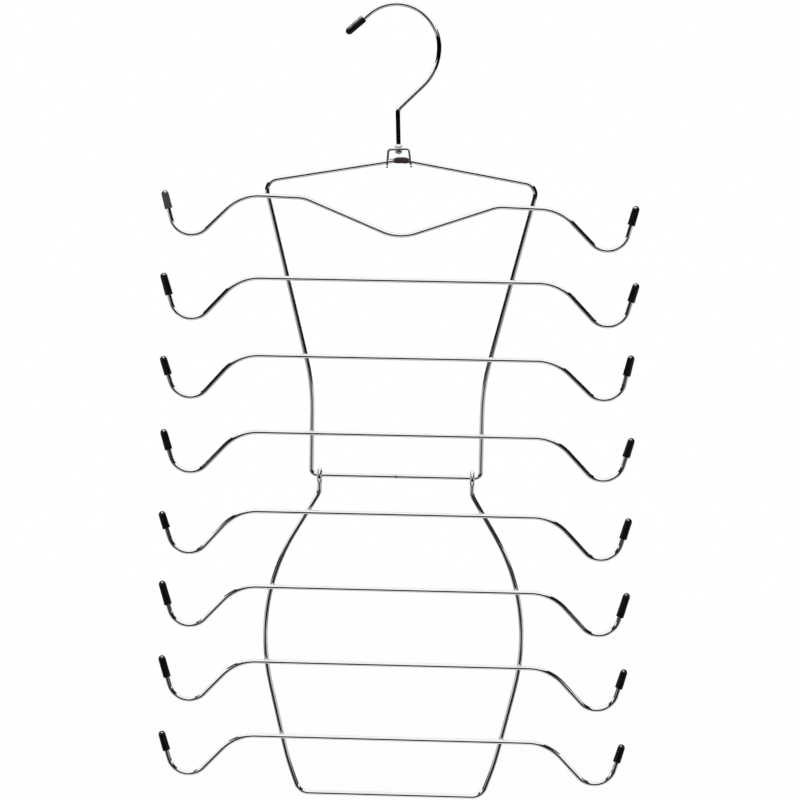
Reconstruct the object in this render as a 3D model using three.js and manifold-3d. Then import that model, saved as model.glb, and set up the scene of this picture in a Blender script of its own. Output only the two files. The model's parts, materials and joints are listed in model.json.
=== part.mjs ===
// Rotating tank top hanger: a swivel hook, a wire frame that folds in two, and eight tiers of strap arms.
// Millimetres, +Z up, front towards -Y. The origin is the seat inside the top of the hook.
import * as THREE from 'three';
import { mergeVertices } from 'three/addons/utils/BufferGeometryUtils.js';
import Module from 'manifold-3d';

// Wire stock, and how finely round sections, turned pieces and bends are faceted
const wireDiameter = 3.2;
const wireSides = 8;
const turnedSides = 12;
const holeSides = 16;
const arcSegments = 6;
const degreesPerFacet = 15;
const mergeTolerance = 1e-4;

// Swivel hook, sizes on the wire's centre line
const hookRadius = 30.5;
const hookHeelRadius = 37;
const hookNeckAngle = 48;
const hookNeckRadius = 6;
const hookTipAngle = 39;
const hookTipRun = 4.6;
const stemRun = 22.3;

// Swaged collar above the bracket plate and peened head below it
const collarDiameter = 6;
const collarHeight = 2.3;
const collarChamfer = 0.6;
const headDiameter = 4.8;
const headHeight = 2.4;
const swivelPlay = 0.3;
const swivelClearance = 0.3;

// Swivel bracket, a strap folded to an inverted U
const strapThickness = 1.25;
const strapWidth = 9;
const strapBendRadius = 1.2;
const bracketFlare = 6;
const bracketWireClearance = 0.3;
const headToApexGap = 2.3;
const legToFlatGap = 3.85;

// How far left of the crown the bracket rests on the frame wire, which makes it lean with the hook
const bracketSlide = 1.9;

// Upper frame: arms from the apex to the shoulders, leaning legs, a waist and the hinge bar
const armSlope = 9.7;
const apexRadius = 40;
const shoulderHalf = 98.2;
const shoulderRadius = 8;
const legLean = 14;
const waistHalf = 61.8;
const waistRadius = 160;
const hingeCornerRadius = 4.5;

// Flat pressed into the apex wire, which keeps the bracket in the middle
const coinHalfLength = 4;
const coinHeight = 4.4;
const coinThickness = 2.2;

// Butt weld that closes the upper frame in the middle of the hinge bar
const buttGap = 0.4;
const beadLength = 3;
const beadRise = 0.35;

// Lower frame: eyes on the hinge bar, a flare to the hips, and a narrower foot
const eyeClearance = 0.5;
const eyeGap = 1.4;
const eyeNeckRadius = 3.2;
const eyeLegRun = 3.4;
const flareRadius = 12;
const flareLean = 30.7;
const hipHalf = 94.3;
const upperHipRadius = 148;
const lowerHipRadius = 170;
const thighLean = 13.2;
const footSweepRadius = 200;
const footLean = 20;
const footRun = 7.6;
const footCornerRadius = 10;

// Tiers, from the apex down to the foot of the lower frame
const tiersPerFrame = 4;
const tierPitch = 56;
const apexToTier = 30.4;
const tierToHinge = 30.8;
const hingeToTier = 27.4;
const tierToFoot = 43.1;
const weldGap = 0.2;

// Tier bar: a level run, a shoulder, a slope, a dip that holds the strap, and a leaning tip
const barFlatHalf = 100.5;
const barShoulderRadius = 34;
const barSlope = 46.5;
const dipRadius = 15.2;
const dipDepth = 30;
const tipLean = 16.3;
const tipRun = 6.2;

// Degrees by which each tier's arms were bent up at the shoulder, from the first tier down
const leftArmLifts = [0, 0, -1.4, 0, -1.8, 0, 0, 0];
const rightArmLifts = [3, 0, 3.2, 0, 0, 0, 0, 0];

// V neckline of the first tier, and the slight tilt at which its bar is welded on
const neckDepth = 23.7;
const neckSlope = 20.6;
const neckRadius = 34;
const neckShoulderRadius = 24;
const neckTilt = 1.7;

// Vinyl end caps
const capWall = 0.85;
const capClearance = 0.15;
const capLength = 14.4;
const capEndWall = 1.8;
const capEndGap = 0.4;
const capTipRadius = 2.3;
const hookCapLength = 15.4;

const towardsFront = new THREE.Vector3(0, -1, 0);
const towardsRight = new THREE.Vector3(1, 0, 0);
const upwards = new THREE.Vector3(0, 0, 1);

const sin = (degrees) => Math.sin(THREE.MathUtils.degToRad(degrees));
const cos = (degrees) => Math.cos(THREE.MathUtils.degToRad(degrees));
const tan = (degrees) => Math.tan(THREE.MathUtils.degToRad(degrees));
const arcsin = (ratio) => THREE.MathUtils.radToDeg(Math.asin(ratio));

// Reach along and across the old heading of a bend of this radius and turn
const bendAlong = (radius, turn) => radius * sin(turn);
const bendAcross = (radius, turn) => radius * (1 - cos(turn));

// Drop of an arc below its crown, at a distance from the crown
const bendDrop = (radius, across) => radius - Math.sqrt(radius ** 2 - across ** 2);

// Length that a bend takes off each of the straight lines that it rounds
const bendTangent = (radius, turn) => radius * tan(turn / 2);

// Levels and positions that follow from the driving sizes, from the rod seat down
const wireRadius = wireDiameter / 2;
const hookCentre = wireRadius - hookRadius;
const slantAcross = hookRadius - bendAcross(hookNeckRadius, hookNeckAngle)
  - bendAcross(hookHeelRadius, hookNeckAngle);
const slantRun = slantAcross / sin(hookNeckAngle);
const neckLevel = hookCentre - bendAlong(hookHeelRadius, hookNeckAngle) - slantRun * cos(hookNeckAngle)
  - bendAlong(hookNeckRadius, hookNeckAngle);
const plateTop = neckLevel - stemRun - collarHeight - swivelPlay;
const headTop = plateTop - strapThickness - swivelPlay;
const apexPeak = headTop - headHeight - headToApexGap - coinHeight / 2;
const apexLevel = apexPeak + apexRadius * (1 / cos(armSlope) - 1);
const barFront = -(wireDiameter + weldGap);
const hingeLevel = apexLevel - apexToTier - (tiersPerFrame - 1) * tierPitch - tierToHinge;
const footDrop = hingeToTier + (tiersPerFrame - 1) * tierPitch + tierToFoot;
const eyeHalf = waistHalf - hingeCornerRadius - wireRadius;
const eyeRadius = wireRadius + eyeClearance + wireRadius;

const wasm = await Module();
wasm.setup();

// A wire bent on the bench: straight runs and arcs laid end to end, with a ring only where the wire bends
class BentWire extends THREE.Curve {
  constructor(start, heading) {
    super();
    this.stations = [{ point: start.clone(), heading: heading.clone() }];
  }

  get end() {
    return this.stations[this.stations.length - 1];
  }

  run(length) {
    const { point, heading } = this.end;
    this.stations.push({ point: point.clone().addScaledVector(heading, length), heading: heading.clone() });
    return this;
  }

  // Positive turns run to the left as seen from the side that the axis points to
  bend(radius, turn, axis = towardsFront) {
    const { point, heading } = this.end;
    const inwards = new THREE.Vector3().crossVectors(axis, heading).multiplyScalar(Math.sign(turn));
    const centre = point.clone().addScaledVector(inwards, radius);
    const facets = Math.max(2, Math.ceil(Math.abs(turn) / degreesPerFacet));
    for (let facet = 1; facet <= facets; facet += 1) {
      const angle = THREE.MathUtils.degToRad((turn * facet) / facets);
      this.stations.push({
        point: point.clone().sub(centre).applyAxisAngle(axis, angle).add(centre),
        heading: heading.clone().applyAxisAngle(axis, angle),
      });
    }
    return this;
  }

  // The whole of a wire whose right half was drawn from the middle plane outwards, and its left half likewise
  mirrored(leftHalf = this) {
    const half = leftHalf.stations.slice(1).reverse().map(({ point, heading }) => ({
      point: new THREE.Vector3(-point.x, point.y, point.z),
      heading: new THREE.Vector3(heading.x, -heading.y, -heading.z),
    }));
    this.stations = [...half, ...this.stations];
    return this;
  }

  stationAt(share) {
    return this.stations[Math.round(share * (this.stations.length - 1))];
  }

  getPointAt(share) {
    return this.stationAt(share).point.clone();
  }

  getTangentAt(share) {
    return this.stationAt(share).heading.clone();
  }

  geometry() {
    const corners = Array.from({ length: wireSides }, (_, corner) => (360 * corner) / wireSides);
    const section = new THREE.Shape(corners.map((angle) => (
      new THREE.Vector2(wireRadius * cos(angle), wireRadius * sin(angle))
    )));
    return new THREE.ExtrudeGeometry(section, { steps: this.stations.length - 1, extrudePath: this });
  }
}

// A closed geometry as a solid for joins and cuts
function solidOf(geometry) {
  const bare = geometry.clone();
  bare.deleteAttribute('normal');
  bare.deleteAttribute('uv');
  const merged = mergeVertices(bare, mergeTolerance);
  const vertProperties = merged.attributes.position.array;
  const corners = merged.index.array;
  const triangles = [];
  for (let first = 0; first < corners.length; first += 3) {
    const [a, b, c] = corners.slice(first, first + 3);
    if (a !== b && b !== c && c !== a) {
      triangles.push(a, b, c);
    }
  }
  const triVerts = Uint32Array.from(triangles);
  return new wasm.Manifold(new wasm.Mesh({ numProp: 3, vertProperties, triVerts }));
}

function geometryOf(solid) {
  const mesh = solid.getMesh();
  const geometry = new THREE.BufferGeometry();
  geometry.setAttribute('position', new THREE.BufferAttribute(mesh.vertProperties, 3));
  geometry.setIndex(new THREE.BufferAttribute(mesh.triVerts, 1));
  geometry.computeVertexNormals();
  return geometry;
}

// A profile of radius and height turned about the vertical
function turned(profile, sides) {
  const points = profile.map(([radius, height]) => new THREE.Vector2(radius, height));
  return new THREE.LatheGeometry(points, sides).rotateX(Math.PI / 2);
}

// An outline drawn in the front view, extruded equally to the front and the back
function extrudedAcross(shape, width) {
  const outline = { depth: width, bevelEnabled: false, curveSegments: arcSegments };
  return new THREE.ExtrudeGeometry(shape, outline).rotateX(Math.PI / 2).translate(0, width / 2, 0);
}

// An outline drawn in the side view, extruded equally to the left and the right
function extrudedSideways(shape, width) {
  const outline = { depth: width, bevelEnabled: false, curveSegments: arcSegments };
  const upright = new THREE.ExtrudeGeometry(shape, outline).rotateX(Math.PI / 2);
  return upright.rotateZ(Math.PI / 2).translate(-width / 2, 0, 0);
}

// A round cutter whose flats clear the given radius, along a direction and through a point
function roundCutter(clearRadius, length, direction, point) {
  const radius = clearRadius / Math.cos(Math.PI / holeSides);
  const cutter = new THREE.CylinderGeometry(radius, radius, length, holeSides);
  cutter.applyQuaternion(new THREE.Quaternion().setFromUnitVectors(new THREE.Vector3(0, 1, 0), direction));
  return cutter.translate(point.x, point.y, point.z);
}

const chrome = () => new THREE.MeshStandardMaterial({ color: 0xd8dbde, metalness: 1, roughness: 0.12 });
const vinyl = () => new THREE.MeshStandardMaterial({ color: 0x141416, metalness: 0, roughness: 0.42 });

function piece(name, geometry, material) {
  const mesh = new THREE.Mesh(geometry, material);
  mesh.name = name;
  return mesh;
}

// Length of wire that a cap of this length hides
const hiddenInCap = (length) => length - capEndWall - capEndGap;

// A dipped vinyl cap, open at its rim on z = 0 and domed at its tip
function capGeometry(length) {
  const bore = (wireRadius + capClearance) / Math.cos(Math.PI / turnedSides);
  const outside = wireRadius + capClearance + capWall;
  const dome = [0, 30, 60, 90].map((angle) => [
    outside - capTipRadius + capTipRadius * cos(angle),
    length - capTipRadius + capTipRadius * sin(angle),
  ]);
  const profile = [
    [0, length - capEndWall],
    [bore, length - capEndWall],
    [bore, 0],
    [outside, 0],
    ...dome,
    [0, length],
  ];
  return turned(profile, turnedSides);
}

// Puts a cap on the end of a wire, so that the wire ends just short of the cap's closed end
function cappedEnd(name, { point, heading }, length) {
  const cap = piece(name, capGeometry(length), vinyl());
  cap.quaternion.setFromUnitVectors(upwards, heading);
  cap.position.copy(point).addScaledVector(heading, -hiddenInCap(length));
  return cap;
}

// Drawn upright, with the swivel axis on the vertical through the origin
function hookAssembly() {
  const stemFoot = headTop - headHeight / 2;
  const wire = new BentWire(new THREE.Vector3(0, 0, stemFoot), upwards);
  wire.run(neckLevel - stemFoot);
  wire.bend(hookNeckRadius, -hookNeckAngle);
  wire.run(slantRun);
  wire.bend(hookHeelRadius, hookNeckAngle);
  wire.bend(hookRadius, 90 + hookTipAngle);
  wire.run(hookTipRun + hiddenInCap(hookCapLength));

  const collarFoot = plateTop + swivelPlay;
  const collarRadius = collarDiameter / 2;
  const collar = turned([
    [0, collarFoot],
    [collarRadius - collarChamfer, collarFoot],
    [collarRadius, collarFoot + collarChamfer],
    [collarRadius, collarFoot + collarHeight - collarChamfer],
    [collarRadius - collarChamfer, collarFoot + collarHeight],
    [0, collarFoot + collarHeight],
  ], turnedSides);
  const headRadius = headDiameter / 2;
  const peen = [90, 60, 30].map((angle) => [
    headRadius * cos(angle),
    headTop - headHeight / 2 - (headHeight / 2) * sin(angle),
  ]);
  const rim = [[headRadius, headTop - headHeight / 2], [headRadius, headTop], [0, headTop]];
  const head = turned([...peen, ...rim], turnedSides);

  const group = new THREE.Group();
  const joined = solidOf(wire.geometry()).add(solidOf(collar)).add(solidOf(head));
  group.add(piece('hook_wire', geometryOf(joined), chrome()));
  group.add(cappedEnd('hook_tip_cap', wire.end, hookCapLength));
  return group;
}

// Where the outer face of the bracket's leg would meet the top of its plate, before the fold is rounded
const bracketHalf = coinHalfLength + legToFlatGap;

// Middle of the frame wire where it passes through a leg of the bracket
function wireAtLeg() {
  const legAtApex = bracketHalf + (plateTop - apexLevel) * tan(bracketFlare) - strapThickness / 2;
  const across = legAtApex / (1 - tan(armSlope) * tan(bracketFlare));
  return new THREE.Vector3(across, 0, apexLevel - across * tan(armSlope));
}

function bracketGeometry() {
  const bendTurn = 90 - bracketFlare;
  const outerBend = strapBendRadius + strapThickness;
  const bendX = bracketHalf - bendTangent(outerBend, bendTurn);
  const bendZ = plateTop - outerBend;
  const start = THREE.MathUtils.degToRad(bracketFlare);
  const top = Math.PI / 2;
  const hole = wireAtLeg();
  const footLevel = hole.z - strapWidth / 2;
  const legEnd = (radius) => [
    bendX + radius * cos(bracketFlare) + (bendZ - footLevel) * tan(bracketFlare),
    footLevel - strapThickness,
  ];
  const [outerFoot, footEnd] = legEnd(outerBend);
  const [innerFoot] = legEnd(strapBendRadius);

  const strap = new THREE.Shape();
  strap.moveTo(outerFoot, footEnd);
  strap.absarc(bendX, bendZ, outerBend, start, top, false);
  strap.absarc(-bendX, bendZ, outerBend, top, Math.PI - start, false);
  strap.lineTo(-outerFoot, footEnd);
  strap.lineTo(-innerFoot, footEnd);
  strap.absarc(-bendX, bendZ, strapBendRadius, Math.PI - start, top, true);
  strap.absarc(bendX, bendZ, strapBendRadius, top, start, true);
  strap.lineTo(innerFoot, footEnd);

  const side = new THREE.Shape();
  side.moveTo(strapWidth / 2, plateTop + strapThickness);
  side.lineTo(-strapWidth / 2, plateTop + strapThickness);
  side.absarc(0, hole.z, strapWidth / 2, Math.PI, 2 * Math.PI, false);

  const span = 2 * (outerFoot + strapThickness);
  const rightArm = new THREE.Vector3(cos(armSlope), 0, -sin(armSlope));
  const leftArm = new THREE.Vector3(-cos(armSlope), 0, -sin(armSlope));
  const leftHole = new THREE.Vector3(-hole.x, hole.y, hole.z);
  const wireHole = wireRadius + bracketWireClearance;
  const cutLength = bracketHalf;
  const plateHole = new THREE.Vector3(0, 0, plateTop);
  const blank = solidOf(extrudedAcross(strap, strapWidth)).intersect(solidOf(extrudedSideways(side, span)));
  return geometryOf(blank
    .subtract(solidOf(roundCutter(wireRadius + swivelClearance, 3 * strapThickness, upwards, plateHole)))
    .subtract(solidOf(roundCutter(wireHole, cutLength, rightArm, hole)))
    .subtract(solidOf(roundCutter(wireHole, cutLength, leftArm, leftHole))));
}

// Presses the wire flat between the bracket's legs, wider in the front view and thinner from front to back
function coinApex(geometry) {
  const positions = geometry.attributes.position;
  for (let index = 0; index < positions.count; index += 1) {
    const across = Math.abs(positions.getX(index));
    const onFlat = across < coinHalfLength + mergeTolerance && positions.getZ(index) > apexPeak - apexRadius;
    if (onFlat) {
      const offAxis = positions.getZ(index) - apexPeak + bendDrop(apexRadius, across);
      positions.setY(index, positions.getY(index) * (coinThickness / wireDiameter));
      positions.setZ(index, positions.getZ(index) + offAxis * (coinHeight / wireDiameter - 1));
    }
  }
  return geometry;
}

function upperFrameGeometry() {
  const coinTurn = arcsin(coinHalfLength / apexRadius);
  const shoulderTurn = 90 + legLean - armSlope;
  const shoulderTangent = bendTangent(shoulderRadius, shoulderTurn);
  const waistTangent = bendTangent(waistRadius, legLean);
  const shoulderLevel = apexLevel - shoulderHalf * tan(armSlope);
  const waistLevel = shoulderLevel - (shoulderHalf - waistHalf) / tan(legLean);

  const wire = new BentWire(new THREE.Vector3(0, 0, apexPeak), towardsRight);
  wire.bend(apexRadius, -coinTurn);
  wire.bend(apexRadius, coinTurn - armSlope);
  wire.run(shoulderHalf / cos(armSlope) - apexRadius * tan(armSlope) - shoulderTangent);
  wire.bend(shoulderRadius, -shoulderTurn);
  wire.run((shoulderHalf - waistHalf) / sin(legLean) - shoulderTangent - waistTangent);
  wire.bend(waistRadius, legLean);
  wire.run(waistLevel - hingeLevel - waistTangent - hingeCornerRadius);
  wire.bend(hingeCornerRadius, -90);
  wire.run(waistHalf - hingeCornerRadius - buttGap / 2);
  wire.mirrored();

  const beadRadius = wireRadius + beadRise;
  const toeRadius = wireRadius + beadRise / 3;
  const bead = turned([
    [0, -beadLength / 2],
    [toeRadius, -beadLength / 2],
    [beadRadius, -beadLength / 4],
    [beadRadius, beadLength / 4],
    [toeRadius, beadLength / 2],
    [0, beadLength / 2],
  ], turnedSides).rotateY(Math.PI / 2).translate(0, 0, hingeLevel);
  return geometryOf(solidOf(coinApex(wire.geometry())).add(solidOf(bead)));
}

// Drawn with the hinge axis at the origin
function lowerFrameGeometry() {
  const neckDrop = Math.sqrt(eyeRadius ** 2 + 2 * eyeRadius * eyeNeckRadius);
  const neckTurn = arcsin(neckDrop / (eyeRadius + eyeNeckRadius));
  const eyeWrap = 360 - 2 * arcsin((wireDiameter + eyeGap) / (2 * eyeRadius));
  const flareAcross = bendAcross(flareRadius, flareLean) + bendAcross(upperHipRadius, flareLean);
  const flareRun = (hipHalf - eyeHalf - flareAcross) / sin(flareLean);
  const hipDrop = neckDrop + eyeLegRun + bendAlong(flareRadius, flareLean) + flareRun * cos(flareLean)
    + bendAlong(upperHipRadius, flareLean);
  const cornerTurn = 90 - footLean;
  const footAcross = bendAlong(footCornerRadius, cornerTurn) + footRun * sin(footLean);
  const footAlong = bendAcross(footCornerRadius, cornerTurn) + footRun * cos(footLean);
  const sweepAcross = footSweepRadius * (cos(thighLean) - cos(footLean));
  const sweepAlong = footSweepRadius * (sin(footLean) - sin(thighLean));
  const thighAlong = footDrop - hipDrop - bendAlong(lowerHipRadius, thighLean) - sweepAlong - footAlong;
  const thighRun = thighAlong / cos(thighLean);
  const footHalf = hipHalf - bendAcross(lowerHipRadius, thighLean) - thighRun * sin(thighLean)
    - sweepAcross - footAcross;

  const wire = new BentWire(new THREE.Vector3(0, 0, -footDrop), towardsRight);
  wire.run(footHalf);
  wire.bend(footCornerRadius, cornerTurn);
  wire.run(footRun);
  wire.bend(footSweepRadius, footLean - thighLean);
  wire.run(thighRun);
  wire.bend(lowerHipRadius, thighLean);
  wire.bend(upperHipRadius, flareLean);
  wire.run(flareRun);
  wire.bend(flareRadius, -flareLean);
  wire.run(eyeLegRun);
  wire.bend(eyeNeckRadius, neckTurn, towardsRight);
  wire.bend(eyeRadius, -eyeWrap, towardsRight);
  return wire.mirrored().geometry();
}

// Right half of a bar's middle run, which ends level
function plainMiddle() {
  return new BentWire(new THREE.Vector3(0, 0, 0), towardsRight);
}

function neckMiddle() {
  const bends = bendAcross(neckRadius, neckSlope) + bendAcross(neckShoulderRadius, neckSlope);
  const wire = new BentWire(new THREE.Vector3(0, 0, -neckDepth), towardsRight);
  wire.bend(neckRadius, neckSlope);
  wire.run((neckDepth - bends) / sin(neckSlope));
  wire.bend(neckShoulderRadius, -neckSlope);
  return wire;
}

// Half of a bar, from its middle out to the tip of a strap arm
function halfBar(number, lift) {
  const wire = number === 1 ? neckMiddle() : plainMiddle();
  const bends = bendAcross(barShoulderRadius, barSlope) + bendAcross(dipRadius, barSlope);
  wire.run(barFlatHalf - wire.end.point.x);
  wire.bend(barShoulderRadius, lift - barSlope);
  wire.run((dipDepth - bends) / sin(barSlope));
  wire.bend(dipRadius, barSlope + 90 - tipLean);
  wire.run(tipRun + hiddenInCap(capLength));
  return wire;
}

// One bar and its two caps, drawn about the middle of the bar's level run
function tier(number) {
  const leftHalf = halfBar(number, leftArmLifts[number - 1]);
  const wire = halfBar(number, rightArmLifts[number - 1]).mirrored(leftHalf);
  const leftEnd = { point: wire.stations[0].point, heading: wire.stations[0].heading.clone().negate() };
  const group = new THREE.Group();
  group.add(piece(`tier_bar_${number}`, wire.geometry(), chrome()));
  group.add(cappedEnd(`arm_cap_left_${number}`, leftEnd, capLength));
  group.add(cappedEnd(`arm_cap_right_${number}`, wire.end, capLength));
  return group;
}

// Drop of the frame wire below its crown, at a distance from the middle
function armDrop(across) {
  const bendEnd = bendAlong(apexRadius, armSlope);
  const onBend = Math.min(across, bendEnd);
  return bendDrop(apexRadius, onBend) + (across - onBend) * tan(armSlope);
}

// The hook and its bracket lean about the middle of the hook, so that both bracket legs stay on the wire
const legHole = wireAtLeg();
const leftDrop = armDrop(legHole.x + bracketSlide);
const rightDrop = armDrop(legHole.x - bracketSlide);
const hookLean = arcsin((leftDrop - rightDrop) / (2 * legHole.x));
const holeBelowHook = hookCentre - legHole.z;
const crownX = holeBelowHook * sin(hookLean) + bracketSlide;
const crownZ = hookCentre - holeBelowHook * cos(hookLean) + (leftDrop + rightDrop) / 2;

const swivel = new THREE.Group();
swivel.position.z = -hookCentre;
swivel.add(hookAssembly(), piece('swivel_bracket', bracketGeometry(), chrome()));
const leaning = new THREE.Group();
leaning.position.z = hookCentre;
leaning.rotation.y = -THREE.MathUtils.degToRad(hookLean);
leaning.add(swivel);

const upper = new THREE.Group();
upper.add(piece('upper_frame', upperFrameGeometry(), chrome()));

const lower = new THREE.Group();
lower.position.z = hingeLevel;
lower.add(piece('lower_frame', lowerFrameGeometry(), chrome()));

for (let place = 0; place < tiersPerFrame; place += 1) {
  const upperTier = tier(place + 1);
  upperTier.position.set(0, barFront, apexLevel - apexToTier - place * tierPitch);
  upperTier.rotation.y = place === 0 ? THREE.MathUtils.degToRad(neckTilt) : 0;
  upper.add(upperTier);

  const lowerTier = tier(tiersPerFrame + place + 1);
  lowerTier.position.set(0, barFront, -hingeToTier - place * tierPitch);
  lower.add(lowerTier);
}

// The two frames hang where the bracket holds the crown of the upper one
const frames = new THREE.Group();
frames.position.set(crownX, 0, crownZ - apexPeak);
frames.add(upper, lower);

const hanger = new THREE.Group();
hanger.add(leaning, frames);

export default hanger;
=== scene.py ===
import json
import math

import bmesh
import bpy
from mathutils import Matrix, Vector, noise


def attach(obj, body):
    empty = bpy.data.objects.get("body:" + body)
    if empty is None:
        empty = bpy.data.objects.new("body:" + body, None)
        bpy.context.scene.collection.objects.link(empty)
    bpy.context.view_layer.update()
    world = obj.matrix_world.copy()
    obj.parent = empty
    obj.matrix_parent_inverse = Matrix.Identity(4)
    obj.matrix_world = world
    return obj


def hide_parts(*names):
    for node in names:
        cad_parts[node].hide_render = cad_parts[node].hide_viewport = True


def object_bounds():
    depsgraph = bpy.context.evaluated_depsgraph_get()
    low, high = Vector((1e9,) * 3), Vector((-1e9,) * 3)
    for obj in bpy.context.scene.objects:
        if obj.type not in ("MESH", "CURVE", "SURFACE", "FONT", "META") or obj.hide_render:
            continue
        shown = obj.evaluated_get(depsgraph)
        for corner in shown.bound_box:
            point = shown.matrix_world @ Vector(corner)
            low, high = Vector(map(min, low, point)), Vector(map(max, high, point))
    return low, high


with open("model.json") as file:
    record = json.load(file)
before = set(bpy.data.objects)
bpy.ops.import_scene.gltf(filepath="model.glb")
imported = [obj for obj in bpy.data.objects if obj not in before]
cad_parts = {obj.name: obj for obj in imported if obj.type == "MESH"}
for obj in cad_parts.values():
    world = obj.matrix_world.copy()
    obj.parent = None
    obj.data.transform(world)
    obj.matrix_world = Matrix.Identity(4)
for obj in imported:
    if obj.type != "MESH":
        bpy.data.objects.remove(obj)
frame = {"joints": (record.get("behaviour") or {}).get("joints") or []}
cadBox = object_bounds()
joints = {joint["name"]: joint for joint in frame["joints"]}

mm = 0.001  # sizes below are in millimetres and degrees
frontAxis = Vector((0, -1, 0))
rightAxis = Vector((1, 0, 0))
upAxis = Vector((0, 0, 1))

wire = {"radius": 1.6, "sides": 28, "bendStep": 3.0, "chamfer": 0.3}
tiers = {"perFrame": 4, "pitch": 56.0, "fromApex": 30.4, "toHinge": 30.8, "fromHinge": 27.4, "front": -3.4}

# the frames hang level under their hinge axis, and are drawn about x = 0
hingePoint = Vector(joints["frame_fold"]["pos_m"]) / mm
hingeLevel = hingePoint.z
frameLay = Matrix.Translation((hingePoint.x * mm, 0, 0))


def sin(angle):
    return math.sin(math.radians(angle))


def cos(angle):
    return math.cos(math.radians(angle))


def tan(angle):
    return math.tan(math.radians(angle))


def smooth(low, high, value):  # 0 below low, 1 above high, eased between
    share = min(1.0, max(0.0, (value - low) / (high - low)))
    return share * share * (3 - 2 * share)


class Value:  # a shader socket that takes Python's operators
    def __init__(self, shader, socket):
        self.shader = shader
        self.socket = socket

    def math(self, operation, *others):
        inputs = dict(enumerate((self, *others)))
        return self.shader.add("ShaderNodeMath", {"operation": operation}, inputs)[0]

    def __add__(self, other):
        return self.math("ADD", other)

    def __sub__(self, other):
        return self.math("SUBTRACT", other)

    def __rsub__(self, other):
        return self.shader.add("ShaderNodeMath", {"operation": "SUBTRACT"}, {0: other, 1: self})[0]

    def __mul__(self, other):
        return self.math("MULTIPLY", other)

    __radd__ = __add__
    __rmul__ = __mul__

    def __abs__(self):
        return self.math("ABSOLUTE")

    def between(self, low, high):  # 0 to 1 as the value goes from low to high, either way round
        settings = {"interpolation_type": "SMOOTHSTEP"}
        return self.shader.add("ShaderNodeMapRange", settings, {0: self, 1: low, 2: high})[0]


class Shader:
    def __init__(self, owner):
        owner.use_nodes = True
        self.tree = owner.node_tree
        self.tree.nodes.clear()

    def add(self, kind, settings=None, inputs=None):  # a node's outputs, after its settings and its sockets
        node = self.tree.nodes.new(kind)
        for key, setting in (settings or {}).items():
            setattr(node, key, setting)
        for key, value in (inputs or {}).items():
            if isinstance(value, Value):
                self.tree.links.new(value.socket, node.inputs[key])
            else:
                node.inputs[key].default_value = value
        outputs = {}
        for place, socket in enumerate(node.outputs):
            outputs[place] = outputs[socket.name] = Value(self, socket)
        return outputs

    def blend(self, share, first, second):  # a colour between two colours
        inputs = {0: share, 6: first, 7: second}
        return self.add("ShaderNodeMix", {"data_type": "RGBA"}, inputs)[2]

    def stretched(self, vector, scale):
        return self.add("ShaderNodeVectorMath", {"operation": "MULTIPLY"}, {0: vector, 1: scale})[0]

    def noise(self, vector, scale, detail=3.0, roughness=0.55):
        inputs = {"Vector": vector, "Scale": scale, "Detail": detail, "Roughness": roughness}
        return self.add("ShaderNodeTexNoise", None, inputs)[0]


def rgb(red, green, blue):
    return (red, green, blue, 1.0)


# materials

chromeLook = {
    "bright": rgb(0.93, 0.935, 0.945), "dull": rgb(0.78, 0.79, 0.805), "roughness": 0.04,
    "smudgeScale": 55.0, "smudgeRange": (0.46, 0.72), "smudgeDull": 0.4, "smudgeRough": 0.04,
    "drawnLines": (1500.0, 22.0, 1.0),
    "scratchRange": (0.62, 0.78), "scratchDull": 0.15, "scratchRough": 0.03,
    "weldTint": rgb(0.62, 0.58, 0.53), "weldShare": 0.55, "weldRough": 0.20, "weldGrain": 2600.0,
    # a painted dark reflection: the coined flat at the crown is tinted dark brown, made rougher and mostly
    # not metal
    "paintedReflectionTint": rgb(0.062, 0.040, 0.035), "paintedReflectionRough": 0.35, "paintedReflectionCover": 0.8,
    "peelScale": 900.0, "peelRise": 0.7, "lineRise": 0.5, "weldRise": 3.0,
    "bumpStrength": 0.5, "bumpHeight": 0.0006 * mm,
}


def chromePlate(name, shift):
    look = chromeLook
    material = bpy.data.materials.new(name)
    shader = Shader(material)
    place = shader.add("ShaderNodeTexCoord")["Object"]
    place = shader.add("ShaderNodeVectorMath", {"operation": "ADD"}, {0: place, 1: shift})[0]
    wrap = shader.add("ShaderNodeUVMap", {"uv_map": "wrap"})[0]
    weld = shader.add("ShaderNodeAttribute", {"attribute_name": "weld"})["Fac"]
    # painted dark reflection, marked on the coined flat at the crown
    paintedReflection = shader.add("ShaderNodeAttribute", {"attribute_name": "paintedReflection"})["Fac"]
    smudge = shader.noise(place, look["smudgeScale"], detail=4.0).between(*look["smudgeRange"])
    lines = shader.noise(shader.stretched(wrap, look["drawnLines"]), 1.0, detail=2.0)
    scratch = lines.between(*look["scratchRange"])
    haze = smudge * look["smudgeDull"] + scratch * look["scratchDull"]
    colour = shader.blend(haze, look["bright"], look["dull"])
    colour = shader.blend(weld * look["weldShare"], colour, look["weldTint"])
    # tints the coined flat dark brown: a painted reflection
    colour = shader.blend(paintedReflection, colour, look["paintedReflectionTint"])
    rough = look["roughness"] + smudge * look["smudgeRough"] + scratch * look["scratchRough"]
    rough = rough + weld * look["weldRough"] + paintedReflection * look["paintedReflectionRough"]
    peel = shader.noise(place, look["peelScale"], detail=2.0)
    grain = shader.noise(place, look["weldGrain"], detail=3.0)
    height = peel * look["peelRise"] + lines * look["lineRise"] + weld * grain * look["weldRise"]
    bump = shader.add("ShaderNodeBump", None, {
        "Strength": look["bumpStrength"], "Distance": look["bumpHeight"], "Height": height})[0]
    # the painted dark reflection turns the metal mostly off on the coined flat
    metallic = 1 - paintedReflection * look["paintedReflectionCover"]
    metal = shader.add("ShaderNodeBsdfPrincipled", None, {
        "Base Color": colour, "Metallic": metallic, "Roughness": rough, "Normal": bump})[0]
    shader.add("ShaderNodeOutputMaterial", None, {"Surface": metal})
    return material


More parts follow.
